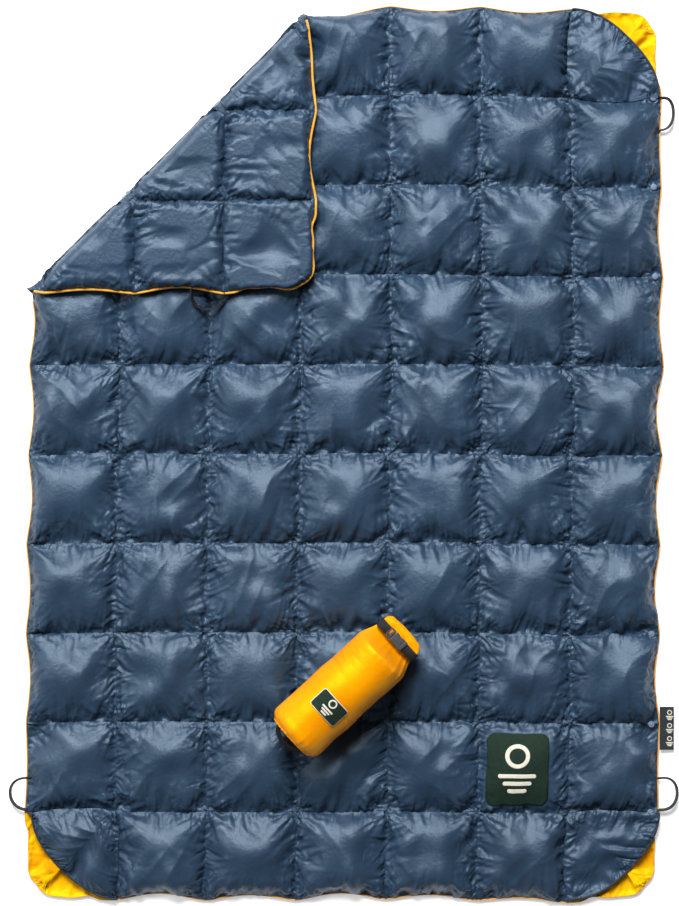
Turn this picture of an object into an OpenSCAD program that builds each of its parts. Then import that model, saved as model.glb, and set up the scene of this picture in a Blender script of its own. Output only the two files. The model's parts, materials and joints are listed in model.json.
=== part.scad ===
/* [Quilt] */
// Width over the piping
quilt_w = 1350; // [1300:10:1400]
// Length over the piping
quilt_l = 1905; // [1850:5:1950]
// Depth of a chamber above the seams
front_loft = 21; // [16:1:24]
// Depth of a chamber below the seams
back_loft = 13; // [10:1:16]
// Thickness of each cloth
cloth = 1; // [0.6:0.1:1.2]
// Width and height of the piping
piping = 5; // [4:0.5:6]
// Radius of the outer corners
corner_r = 85; // [60:5:100]

/* [Folded corner] */
// Length of edge that the folded corner takes from the top and from the side
fold_leg = 610; // [590:5:630]
// Gap between the folded corner and the quilt under it
fold_gap = 0.6; // [0.4:0.1:2]

/* [Corner pockets] */
// Radius of a pocket's curved mouth
pocket_r = 190; // [180:1:190]
// Height of the space inside a pocket
pocket_gap = 7; // [6:0.5:7]

/* [Trim] */
// Distance between the two sewn ends of a webbing loop
loop_span = 75; // [60:5:90]
// Distance that a webbing loop stands out from the piping
loop_reach = 43; // [35:1:50]
// Width of the loops' webbing
loop_web = 10; // [8:1:12]
// Diameter of a snap's cap
snap_d = 14; // [12:0.5:14]
// Width of the sewn patch
patch_w = 125; // [100:1:140]
// Height of the sewn patch
patch_h = 146; // [120:1:150]
// Distance that the side tag stands out
tag_reach = 24; // [16:1:30]
// Length of the side tag along the edge
tag_l = 92; // [60:2:100]

/* [Stuff sack] */
// Radius of the stuffed sack
sack_r = 68; // [64:1:72]
// Angle between the sack's axis and the X axis
sack_turn = 42.5; // [35:0.5:50]
// Length of the rolled collar across the sack
collar_w = 112; // [100:2:120]
// Length of the buckle's housing
buckle_l = 34; // [32:1:36]
// Width of the buckle
buckle_w = 24; // [22:1:26]

/* [Hidden] */

columns = 7;
rows = 10;
hair = 0.2;          // clearance between neighbouring pieces of one body
over = 20;           // how far a cutting shape runs past what it cuts
far = 4000;          // larger than the whole quilt

// Heights
seam_z = back_loft + cloth;          // where the two cloths meet
plate_top = seam_z + cloth;
quilt_top = plate_top + front_loft;
fold_z = quilt_top + fold_gap / 2;   // height of the fold's axis

// A chamber is a stack of steps, each [inset from the seam, height from the cloth]
front_steps = [[10, 12], [34, front_loft]];
back_steps = [[12, 7], [40, back_loft]];

// The fold line is y = x + fold_c
fold_c = quilt_w / 2 + quilt_l / 2 - fold_leg;

function seam_x(i) =
  i == 0 ? -quilt_w / 2 + piping + hair :
  i == columns ? quilt_w / 2 - piping - hair :
  -quilt_w / 2 + i * quilt_w / columns;
function seam_y(j) =
  j == 0 ? quilt_l / 2 - piping - hair :
  j == rows ? -quilt_l / 2 + piping + hair :
  quilt_l / 2 - j * quilt_l / rows;
function is_corner(i, j) = (i == 0 || i == columns - 1) && (j == 0 || j == rows - 1);

// Distance of a point from the fold line, positive on the folded corner's side
function lean(x, y) = (y - x - fold_c) / sqrt(2);
function room(folded, i, j) =
  folded ? lean(seam_x(i), seam_y(j)) : -lean(seam_x(i + 1), seam_y(j + 1));
function crosses(i, j) = room(true, i, j) > 0 && room(false, i, j) > 0;
function holds_step(folded, i, j, inset) = room(folded, i, j) > inset * (1 + sqrt(2)) + 8;
// A chamber exists on one side of the fold if its first step fits there
function holds(folded, i, j) = holds_step(folded, i, j, front_steps[0][0] + 10);

module slab(low, high) {
  translate([0, 0, low]) linear_extrude(high - low) children();
}

module rounded(w, l, r) {
  square([w - 2 * r, l], center = true);
  square([w, l - 2 * r], center = true);
  for (sx = [-1, 1], sy = [-1, 1])
    translate([sx * (w / 2 - r), sy * (l / 2 - r)]) circle(r = r, $fn = 64);
}

// The side of the fold line that the folded corner or the rest of the quilt takes
module side(folded, inset) {
  translate([0, fold_c]) rotate(45)
    translate([-far, folded ? inset : -far - inset]) square([2 * far, far]);
}

// Turns what is drawn flat on the corner over onto the quilt
module at_fold() {
  translate([0, fold_c, fold_z]) rotate(a = 180, v = [1, 1, 0]) translate([0, -fold_c, -fold_z]) children();
}

// Runs from the inner seams of corner cell (i, j) to past the quilt's edges
module corner_square(i, j, inset, past) {
  x0 = i == 0 ? seam_x(0) - past : seam_x(i) + inset;
  x1 = i == 0 ? seam_x(1) - inset : seam_x(columns) + past;
  y0 = j == 0 ? seam_y(1) + inset : seam_y(rows) - past;
  y1 = j == 0 ? seam_y(0) + past : seam_y(rows - 1) - inset;
  translate([x0, y0]) square([x1 - x0, y1 - y0]);
}

// The disc whose edge is the pocket's curved mouth
module mouth_disc(i, j, inset) {
  translate([(i == 0 ? -1 : 1) * (quilt_w / 2 - pocket_r), (j == 0 ? 1 : -1) * (quilt_l / 2 - pocket_r)])
    circle(r = pocket_r - piping - inset, $fn = 96);
}

module cell(folded, i, j, inset) {
  x0 = seam_x(i) + inset;
  y0 = seam_y(j + 1) + inset;
  size = [seam_x(i + 1) - inset - x0, seam_y(j) - inset - y0];
  if (crosses(i, j))
    intersection() {
      translate([x0, y0]) square(size);
      side(folded, inset);
    }
  else
    translate([x0, y0]) square(size);
}

module back_cell(folded, i, j, inset) {
  if (is_corner(i, j))
    intersection() {
      cell(folded, i, j, inset);
      rounded(quilt_w - 2 * (piping + inset), quilt_l - 2 * (piping + inset), corner_r);
    }
  else
    cell(folded, i, j, inset);
}

module front_cells(folded, thin, low) {
  for (i = [0:columns - 1], j = [0:rows - 1])
    if (!is_corner(i, j) && holds(folded, i, j))
      for (s = front_steps)
        if (holds_step(folded, i, j, s[0] + thin))
          slab(low, plate_top + s[1] - thin) cell(folded, i, j, s[0] + thin);
}

module back_cells(folded, thin, high) {
  for (i = [0:columns - 1], j = [0:rows - 1])
    if (holds(folded, i, j))
      for (s = back_steps)
        if (holds_step(folded, i, j, s[0] + thin))
          slab(seam_z - cloth - s[1] + thin, high) back_cell(folded, i, j, s[0] + thin);
}

// The flat cloth that joins the chambers
module plate(folded) {
  intersection() {
    rounded(quilt_w - 2 * (piping + hair), quilt_l - 2 * (piping + hair), corner_r - piping - hair);
    side(folded, fold_gap);
  }
}

snap_rows = [1, 2, 3, 7, 8, 9];
snap_x = quilt_w / 2 - 17;
function snap_y(n) = seam_y(snap_rows[n]);
shank_r = 2.4;

module at_snaps(numbers) {
  for (n = numbers) translate([snap_x, snap_y(n)]) children();
}

module shank_holes() {
  slab(0, quilt_top) at_snaps([0:5]) circle(r = shank_r + hair, $fn = 32);
}

module back_form(folded) {
  difference() {
    union() {
      slab(seam_z - cloth, seam_z) plate(folded);
      back_cells(folded, 0, seam_z);
    }
    back_cells(folded, cloth, seam_z + over);
    if (!folded) shank_holes();
  }
}

module front_form(folded) {
  difference() {
    union() {
      slab(seam_z, plate_top) difference() {
        plate(folded);
        for (i = [0, columns - 1], j = [0, rows - 1])
          if (folded == (i == 0 && j == 0)) corner_square(i, j, lining_inset - hair, over);
      }
      front_cells(folded, 0, seam_z);
    }
    front_cells(folded, cloth, seam_z - over);
    if (!folded) shank_holes();
  }
}

// Down in one chamber: both halves, or the back half alone under a pocket
module down(folded, i, j) {
  thin = cloth + hair;
  meet = is_corner(i, j) ? seam_z - hair : seam_z + hair;
  if (holds(folded, i, j)) {
    for (s = back_steps)
      if (holds_step(folded, i, j, s[0] + thin))
        slab(seam_z - cloth - s[1] + thin, meet) back_cell(folded, i, j, s[0] + thin);
    if (!is_corner(i, j))
      for (s = front_steps)
        if (holds_step(folded, i, j, s[0] + thin))
          slab(meet, plate_top + s[1] - thin) cell(folded, i, j, s[0] + thin);
  }
}

module fill_row(j) {
  color([0.93, 0.93, 0.9]) {
    for (i = [0:columns - 1]) down(false, i, j);
    if (j == 0) pocket_down(columns - 1, 0);
    if (j == rows - 1) {
      pocket_down(0, j);
      pocket_down(columns - 1, j);
    }
  }
}

// Corner pockets: a padded panel over a lined space, open along the curve
lining_inset = 8;
binding_w = 2;
panel_low = plate_top + pocket_gap;
arc_steps = [[0, front_steps[0]], [24, front_steps[1]]];   // [inset from the binding, step]

module panel_step(i, j, arc_inset, inset) {
  intersection() {
    corner_square(i, j, inset, 0);
    mouth_disc(i, j, binding_w + arc_inset);
  }
}

module pocket_panel(i, j) {
  color([0.16, 0.24, 0.34])
    difference() {
      for (s = arc_steps)
        slab(plate_top, plate_top + s[1][1]) panel_step(i, j, s[0], s[1][0]);
      slab(plate_top - over, panel_low) corner_square(i, j, front_steps[0][0] + cloth, over);
      for (s = arc_steps)
        slab(panel_low + cloth, plate_top + s[1][1] - cloth) panel_step(i, j, s[0] + cloth, s[1][0] + cloth);
    }
}

module pocket_down(i, j) {
  thin = cloth + hair;
  for (s = arc_steps)
    slab(panel_low + thin, plate_top + s[1][1] - thin) panel_step(i, j, s[0] + thin, s[1][0] + thin);
}

module pocket_lining(i, j) {
  color([0.98, 0.68, 0.05])
    slab(seam_z, plate_top) intersection() {
      corner_square(i, j, lining_inset, 0);
      rounded(quilt_w - 2 * (piping + hair), quilt_l - 2 * (piping + hair), corner_r - piping - hair);
    }
}

module pocket_binding(i, j) {
  color([0.09, 0.12, 0.17])
    slab(panel_low, plate_top + front_steps[0][1]) intersection() {
      corner_square(i, j, front_steps[0][0], 0);
      difference() {
        mouth_disc(i, j, 0);
        mouth_disc(i, j, binding_w - hair);
      }
    }
}

stitch_w = 1.2;
stitch_h = 0.6;

module seam_grid(folded) {
  intersection() {
    difference() {
      union() {
        for (i = [1:columns - 1])
          translate([seam_x(i) - stitch_w / 2, seam_y(rows)]) square([stitch_w, seam_y(0) - seam_y(rows)]);
        for (j = [1:rows - 1])
          translate([seam_x(0), seam_y(j) - stitch_w / 2]) square([seam_x(columns) - seam_x(0), stitch_w]);
      }
      at_snaps([0:5]) circle(d = snap_d + 2, $fn = 32);
    }
    side(folded, 3);
  }
}

module stitching(folded) {
  slab(plate_top, plate_top + stitch_h) seam_grid(folded);
  slab(seam_z - cloth - stitch_h, seam_z - cloth) seam_grid(folded);
}

module piping_run(folded) {
  slab(seam_z - piping / 2, seam_z + piping / 2)
    intersection() {
      difference() {
        rounded(quilt_w, quilt_l, corner_r);
        rounded(quilt_w - 2 * piping, quilt_l - 2 * piping, corner_r - piping);
      }
      side(folded, fold_gap);
    }
}

web_t = 1.6;
hinge_gap = 1.2;     // from the piping to the axis that a loop or the tag turns on

// A flat webbing loop that stands out along +X from its axis at the origin
module webbing_loop(span, reach, web) {
  slope = span * 0.14;
  color([0.07, 0.07, 0.08])
    slab(-web_t / 2, web_t / 2) difference() {
      polygon([[0, -span / 2], [reach, -span / 2 + slope], [reach, span / 2 - slope], [0, span / 2]]);
      polygon([[-1, -span / 2 + web], [reach - web, -span / 2 + web + slope * 0.8],
        [reach - web, span / 2 - web - slope * 0.8], [-1, span / 2 - web]]);
    }
}

loop_y = 725;

module quilt_loop(sx, sy) {
  translate([sx * (quilt_w / 2 + hinge_gap), sy * loop_y, seam_z]) rotate(sx > 0 ? 0 : 180)
    webbing_loop(loop_span, loop_reach - hinge_gap, loop_web);
}

module back_shell() { color([0.17, 0.26, 0.36]) back_form(false); }
module front_shell() { color([0.2, 0.3, 0.42]) front_form(false); }
module seam_stitching() { color([0.05, 0.09, 0.15]) stitching(false); }
module edge_piping() { color([1, 0.6, 0.08]) piping_run(false); }

module flap_back_shell() { color([0.17, 0.26, 0.36]) at_fold() back_form(true); }
module flap_front_shell() { color([0.2, 0.3, 0.42]) at_fold() front_form(true); }
module flap_stitching() { color([0.05, 0.09, 0.15]) at_fold() stitching(true); }
module flap_piping() { color([1, 0.6, 0.08]) at_fold() piping_run(true); }

module flap_fill() {
  color([0.93, 0.93, 0.9]) at_fold() {
    for (i = [0:3], j = [0:3]) down(true, i, j);
    pocket_down(0, 0);
  }
}

// Snaps, clamped through the seam close to the right-hand edge
cap_h = 2.4;
socket_h = 4;
stud_r = 3;
stud_h = 2.6;
snap_top = plate_top + stitch_h / 2;
snap_low = seam_z - cloth - stitch_h / 2;

module snap_caps() {
  color([0.62, 0.68, 0.76]) {
    slab(snap_top, snap_top + cap_h) at_snaps([0:2]) circle(d = snap_d, $fn = 48);
    slab(snap_low - 1, snap_top) at_snaps([0:2]) circle(r = shank_r, $fn = 32);
  }
}

module snap_sockets() {
  color([0.55, 0.58, 0.62])
    difference() {
      slab(snap_low - socket_h, snap_low) at_snaps([0:2]) circle(d = snap_d - 1, $fn = 48);
      slab(snap_low - socket_h - over, snap_low - 1.2) at_snaps([0:2]) circle(r = stud_r + 0.1, $fn = 32);
      slab(snap_low - 1.2 - over, snap_low + over) at_snaps([0:2]) circle(r = shank_r + hair, $fn = 32);
    }
}

module snap_studs() {
  color([0.55, 0.58, 0.62])
    difference() {
      union() {
        slab(snap_top, snap_top + 1.4) at_snaps([3:5]) circle(d = snap_d - 1, $fn = 48);
        slab(snap_top, snap_top + 1.4 + stud_h) at_snaps([3:5]) circle(r = stud_r, $fn = 32);
      }
      slab(snap_top - over, snap_top + 1) at_snaps([3:5]) circle(r = shank_r + hair, $fn = 32);
    }
}

module snap_posts() {
  color([0.62, 0.68, 0.76]) {
    slab(snap_low - cap_h, snap_low) at_snaps([3:5]) circle(d = snap_d, $fn = 48);
    slab(snap_low, snap_top + 0.8) at_snaps([3:5]) circle(r = shank_r, $fn = 32);
  }
}

tag_y = -585;

module side_tag() {
  color([0.1, 0.12, 0.14])
    translate([quilt_w / 2 + hinge_gap, tag_y - tag_l / 2, seam_z - web_t / 2])
      cube([tag_reach, tag_l, web_t]);
}

patch_at = [373, -669];
patch_t = 1.2;

module at_patch(low, high) {
  slab(quilt_top + low, quilt_top + high) translate(patch_at) children();
}

module patch() {
  color([0.1, 0.22, 0.17]) at_patch(0, patch_t) rounded(patch_w, patch_h, 16);
}

// A plain ring over three bars: water under a sun
module ring_and_bars(r, bar_w) {
  translate([0, r * 0.62]) difference() {
    circle(r = r * 0.55, $fn = 64);
    circle(r = r * 0.36, $fn = 64);
  }
  for (n = [0:2])
    translate([0, -r * (0.28 + 0.34 * n)]) rounded(r * (1.7 - 0.4 * n), bar_w, bar_w * 0.49);
}

module patch_emblem() {
  color([0.9, 0.88, 0.78]) at_patch(patch_t, patch_t + 0.6) ring_and_bars(44, 8);
}

// The stuff sack lies on the quilt: its own X runs along its axis, towards the rolled collar
sack_at = [-2, -492];
sack_gap = 0.3;
base_x = -150;
shoulder_x = 118;
neck_x = 140;
neck_r = 40;
skin = 1;

module at_sack() {
  translate([sack_at[0], sack_at[1], quilt_top + sack_gap]) rotate(sack_turn) children();
}

// Turns a profile of [radius, place along the axis] about the sack's axis
module turned() {
  translate([0, 0, sack_r]) rotate([0, 90, 0]) rotate_extrude($fn = 96) children();
}

module sack_shell() {
  color([0.93, 0.66, 0.08])
    at_sack() turned()
      polygon([[sack_r, base_x], [sack_r, shoulder_x], [neck_r, neck_x], [neck_r - skin, neck_x],
        [sack_r - skin, shoulder_x - skin], [sack_r - skin, base_x]]);
}

module sack_base() {
  color([0.9, 0.6, 0.06])
    at_sack() turned() translate([0, base_x]) square([sack_r - 2 * skin, 1.5]);
}

module sack_base_seam() {
  color([0.85, 0.5, 0.05])
    at_sack() turned() translate([sack_r - 5, base_x - 2]) square([4.5, 1.8]);
}

module sack_contents() {
  inner_r = sack_r - skin - 0.3;
  color([0.2, 0.3, 0.42])
    at_sack() turned()
      polygon([[0, base_x + 2], [inner_r, base_x + 2], [inner_r, shoulder_x - 2],
        [neck_r - 3, neck_x - 2], [0, neck_x - 2]]);
}

// The collar is the flattened neck, rolled up: a stadium across the sack
collar_x = [140.2, 165];
collar_z = [38, 62];
stiff_t = 1.2;

module across(width) {
  translate([0, width / 2, 0]) rotate([90, 0, 0]) linear_extrude(width) children();
}

module collar_outline() {
  r = (collar_z[1] - collar_z[0]) / 2;
  translate([collar_x[0], collar_z[0]]) square([collar_x[1] - collar_x[0] - r, 2 * r]);
  translate([collar_x[1] - r, collar_z[0] + r]) circle(r = r, $fn = 48);
}

module stiffener_outline(spare) {
  translate([collar_x[0] + 4 - spare, collar_z[0] + 10 - spare])
    square([14 + 2 * spare, stiff_t + 2 * spare]);
}

module sack_collar() {
  color([0.9, 0.62, 0.08])
    at_sack() difference() {
      across(collar_w) collar_outline();
      across(collar_w - 8) stiffener_outline(hair);
    }
}

module collar_stiffener() {
  color([0.15, 0.15, 0.16]) at_sack() across(collar_w - 8 - 2 * hair) stiffener_outline(0);
}

// Side-release buckle, lying over the collar and closing across the sack
buckle_x = 153;
buckle_z = 80;
buckle_h = 9;
mouth_y = 14;                        // where the socket's mouth is, from the sack's axis
plug_l = 14;
strap_w = 20;
cavity = [buckle_w - 5, buckle_l - 8, 5.6];

module at_buckle() {
  at_sack() translate([buckle_x, mouth_y, buckle_z]) children();
}

// A block centred across the buckle, from y0 to y1 along it
module block(w, y0, y1, h) {
  translate([-w / 2, y0, -h / 2]) cube([w, y1 - y0, h]);
}

module buckle_socket() {
  color([0.2, 0.21, 0.23])
    at_buckle() difference() {
      block(buckle_w, -buckle_l, 0, buckle_h);
      block(cavity[0], -cavity[1], over, cavity[2]);
      block(buckle_w + over, -cavity[1] + 4, -cavity[1] + 14, cavity[2] - 0.6);
      block(strap_w + 0.6, -buckle_l + 3, -buckle_l + 5.4, buckle_h + over);
    }
}

module buckle_plug() {
  color([0.2, 0.21, 0.23])
    at_buckle() difference() {
      union() {
        block(buckle_w, 0.4, plug_l, buckle_h);
        block(5, -cavity[1] + 3, 2, 3);
      }
      block(strap_w + 0.6, plug_l - 5.4, plug_l - 3, buckle_h + over);
    }
}

prong = [2.8, cavity[1] - 3, 3.6];
prong_x = cavity[0] / 2 - 0.5 - prong[0];     // inner face of a prong
prong_root = -0.6;

// Leaves its children on their own side, or mirrors them to the other side of the plane across normal
module on_side(other, normal) {
  if (other) mirror(normal) children();
  else children();
}

// A springy prong of the plug, with its flush catch
module buckle_prong(other) {
  color([0.24, 0.25, 0.27])
    at_buckle() on_side(other, [1, 0, 0])
      translate([prong_x, prong_root - prong[1], -prong[2] / 2]) cube(prong);
}

// Webbing from an end of the collar up to the buckle: one upright and one level stretch
module strap(other, inner_y) {
  outer_y = collar_w / 2 + hair;
  low = collar_z[0] + 4;
  top = buckle_z + web_t / 2;
  color([0.12, 0.12, 0.13])
    at_sack() on_side(other, [0, 1, 0]) translate([buckle_x - strap_w / 2, 0, 0])
      rotate([90, 0, 90]) linear_extrude(strap_w)
        polygon([[outer_y, low], [outer_y + web_t, low], [outer_y + web_t, top],
          [inner_y, top], [inner_y, top - web_t], [outer_y, top - web_t]]);
}

module sack_handle() {
  at_sack() translate([base_x - 2 - hinge_gap, 0, 46]) rotate(180) webbing_loop(74, 22, loop_web);
}

label_at = [-47, -3.5];
label_size = [46, 71];

// The part of a thin tube round the sack that lies over the shape given
module wrapped(r0, r1) {
  at_sack() intersection() {
    turned() translate([r0, base_x]) square([r1 - r0, shoulder_x - base_x]);
    slab(sack_r, 3 * sack_r) translate(label_at) children();
  }
}

module sack_label() {
  color([0.12, 0.22, 0.19])
    wrapped(sack_r + 0.2, sack_r + 1) rounded(label_size[0], label_size[1], 6);
}

module sack_label_emblem() {
  color([0.9, 0.88, 0.78]) wrapped(sack_r + 1.05, sack_r + 1.5) rotate(-90) ring_and_bars(16, 3.2);
}

module strap_socket_side() { strap(true, buckle_l - mouth_y + hair); }
module strap_plug_side() { strap(false, mouth_y + plug_l + hair); }

back_shell();
front_shell();
fill_row(0);  // fill_row_01
fill_row(1);  // fill_row_02
fill_row(2);  // fill_row_03
fill_row(3);  // fill_row_04
fill_row(4);  // fill_row_05
fill_row(5);  // fill_row_06
fill_row(6);  // fill_row_07
fill_row(7);  // fill_row_08
fill_row(8);  // fill_row_09
fill_row(9);  // fill_row_10
seam_stitching();
edge_piping();
pocket_panel(columns - 1, 0);  // pocket_panel_top_right
pocket_panel(columns - 1, rows - 1);  // pocket_panel_bottom_right
pocket_panel(0, rows - 1);  // pocket_panel_bottom_left
pocket_lining(columns - 1, 0);  // pocket_lining_top_right
pocket_lining(columns - 1, rows - 1);  // pocket_lining_bottom_right
pocket_lining(0, rows - 1);  // pocket_lining_bottom_left
pocket_binding(columns - 1, 0);  // pocket_binding_top_right
pocket_binding(columns - 1, rows - 1);  // pocket_binding_bottom_right
pocket_binding(0, rows - 1);  // pocket_binding_bottom_left
quilt_loop(1, 1);  // loop_top_right
quilt_loop(1, -1);  // loop_bottom_right
quilt_loop(-1, -1);  // loop_bottom_left
snap_caps();
snap_sockets();
snap_studs();
snap_posts();
side_tag();
patch();
patch_emblem();
flap_back_shell();
flap_front_shell();
flap_fill();
flap_stitching();
flap_piping();
at_fold() pocket_panel(0, 0);  // pocket_panel_top_left
at_fold() pocket_lining(0, 0);  // pocket_lining_top_left
at_fold() pocket_binding(0, 0);  // pocket_binding_top_left
at_fold() quilt_loop(-1, 1);  // loop_top_left
sack_shell();
sack_base();
sack_base_seam();
sack_contents();
sack_collar();
collar_stiffener();
strap_socket_side();
strap_plug_side();
buckle_socket();
buckle_plug();
buckle_prong(false);  // buckle_prong_upper
buckle_prong(true);  // buckle_prong_lower
sack_handle();
sack_label();
sack_label_emblem();
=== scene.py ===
"""The looks of the camp quilt: cloth, webbing, hardware, materials, light and camera.

Lengths are in millimetres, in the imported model's own axes, until a mesh is made, and then in metres.
The quilt is solved as one flat piece of cloth in two layers, sewn through in a grid of chambers.
Its corner is then folded over about the axis of the joint corner_fold.
A "plan" point is a place on that flat quilt.
"""
import json
import math

import bpy
import numpy as np
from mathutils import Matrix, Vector


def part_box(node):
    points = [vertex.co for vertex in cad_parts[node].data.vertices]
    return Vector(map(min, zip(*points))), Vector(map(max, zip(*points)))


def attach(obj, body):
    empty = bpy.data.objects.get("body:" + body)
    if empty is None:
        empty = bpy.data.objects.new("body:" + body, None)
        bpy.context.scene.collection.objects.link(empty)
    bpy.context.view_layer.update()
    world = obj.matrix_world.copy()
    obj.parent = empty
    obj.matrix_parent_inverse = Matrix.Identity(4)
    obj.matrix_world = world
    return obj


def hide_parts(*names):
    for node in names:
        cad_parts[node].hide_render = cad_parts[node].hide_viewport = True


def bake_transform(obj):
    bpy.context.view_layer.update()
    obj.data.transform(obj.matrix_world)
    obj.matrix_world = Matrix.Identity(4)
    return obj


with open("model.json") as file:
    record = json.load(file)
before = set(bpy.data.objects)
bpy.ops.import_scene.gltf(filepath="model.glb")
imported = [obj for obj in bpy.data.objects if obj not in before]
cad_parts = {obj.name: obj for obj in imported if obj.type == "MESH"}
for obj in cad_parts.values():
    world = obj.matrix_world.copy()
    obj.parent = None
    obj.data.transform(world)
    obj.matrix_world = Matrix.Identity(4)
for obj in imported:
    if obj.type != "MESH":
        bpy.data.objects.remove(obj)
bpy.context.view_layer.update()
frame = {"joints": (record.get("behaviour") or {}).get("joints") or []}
MM = 0.001
SQRT2 = math.sqrt(2)
FRONT, BACK = 0, 1           # the two layers of cloth


# ---- measures from the frame
def box(node):
    lo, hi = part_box(node)
    return np.array(lo) / MM, np.array(hi) / MM


def middle(node):
    lo, hi = box(node)
    return (lo + hi) / 2


COLUMNS, ROWS = 7, 10
piping_lo, piping_hi = box("edge_piping")
WIDTH, LENGTH = piping_hi[:2] - piping_lo[:2]
HALF_W, HALF_L = WIDTH / 2, LENGTH / 2
CELL_X, CELL_Y = WIDTH / COLUMNS, LENGTH / ROWS
INNER_X, INNER_Y = HALF_W - CELL_X, HALF_L - CELL_Y    # the outermost seams
SEAM_Z = (piping_lo[2] + piping_hi[2]) / 2
SHELL_TOP = box("front_shell")[1][2]
SNAP_X = middle("snap_caps")[0]
CAP_ROWS, STUD_ROWS = (1, 2, 3), (7, 8, 9)             # seams, counted from the top, that end in a snap
fold_joint = next(j for j in frame["joints"] if j["name"] == "corner_fold")
fold_at = np.array(fold_joint["pos_m"]) / MM
FOLD_C = fold_at[1] - fold_at[0]                       # the fold line is y = x + FOLD_C in the plan
FOLD_Z = fold_at[2]
FOLD_REACH = HALF_L - (FOLD_C - HALF_W)                # how much of the left edge is folded over
SACK_TURN = math.radians(42.5)
SACK_R = 68
SACK_Z = box("sack_shell")[0][2]                       # underside of the sack
SACK_X = np.array([math.cos(SACK_TURN), math.sin(SACK_TURN), 0])
SACK_Y = np.array([-math.sin(SACK_TURN), math.cos(SACK_TURN), 0])
SACK_FROM = np.array([-2, -492, SACK_Z])               # the origin of the sack's own frame
SACK_BASE, SACK_SHOULDER, SACK_NECK = -150, 118, 140   # places along its axis
UP = (0, 0, 1.0)
EVERY, LOW, HIGH = slice(None), slice(None, -1), slice(1, None)     # neighbours on a grid


def u_of(x, y):
    """Distance from the fold line, positive on the side that is folded over."""
    return (y - x - FOLD_C) / SQRT2


def folded(p):
    """A point of the flat quilt, where the folded corner puts it."""
    return np.stack([p[1] - FOLD_C, p[0] + FOLD_C, 2 * FOLD_Z - p[2]])


def laid(p, side):
    """Points of the flat quilt where they lie at rest: side 1 is the quilt, and side -1 its folded corner."""
    return p if side > 0 else folded(p)


# ---- noise
def noise(shape, step, rng):
    """Smooth noise from -1 to 1, with features about step grid points across."""
    ny, nx = shape
    step_y, step_x = step if isinstance(step, tuple) else (step, step)
    table = rng.uniform(-1, 1, (int(ny / step_y) + 3, int(nx / step_x) + 3)).astype(np.float32)
    y, x = np.arange(ny) / step_y, np.arange(nx) / step_x
    iy, ix = y.astype(int), x.astype(int)
    fy, fx = (y - iy)[:, None], (x - ix)[None, :]
    fy, fx = fy * fy * (3 - 2 * fy), fx * fx * (3 - 2 * fx)
    a, b = table[iy][:, ix], table[iy][:, ix + 1]
    c, d = table[iy + 1][:, ix], table[iy + 1][:, ix + 1]
    return ((a * (1 - fx) + b * fx) * (1 - fy) + (c * (1 - fx) + d * fx) * fy).astype(np.float32)


def smoothstep(lo, hi, value):
    t = np.clip((value - lo) / (hi - lo), 0, 1)
    return t * t * (3 - 2 * t)


# ---- the two-layer cloth solver
GROUND = 0.5                # where the back cloth rests
GROUND_GAP = 0.8            # least height of the front cloth over it
LAYER_GAP = 0.7             # least distance between the two layers
SEAM_SLACK = 1.004          # a sewn line's rest length over its length in the plan
PULL = 0.14                 # how much of a thread's stretch one step puts right


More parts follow.
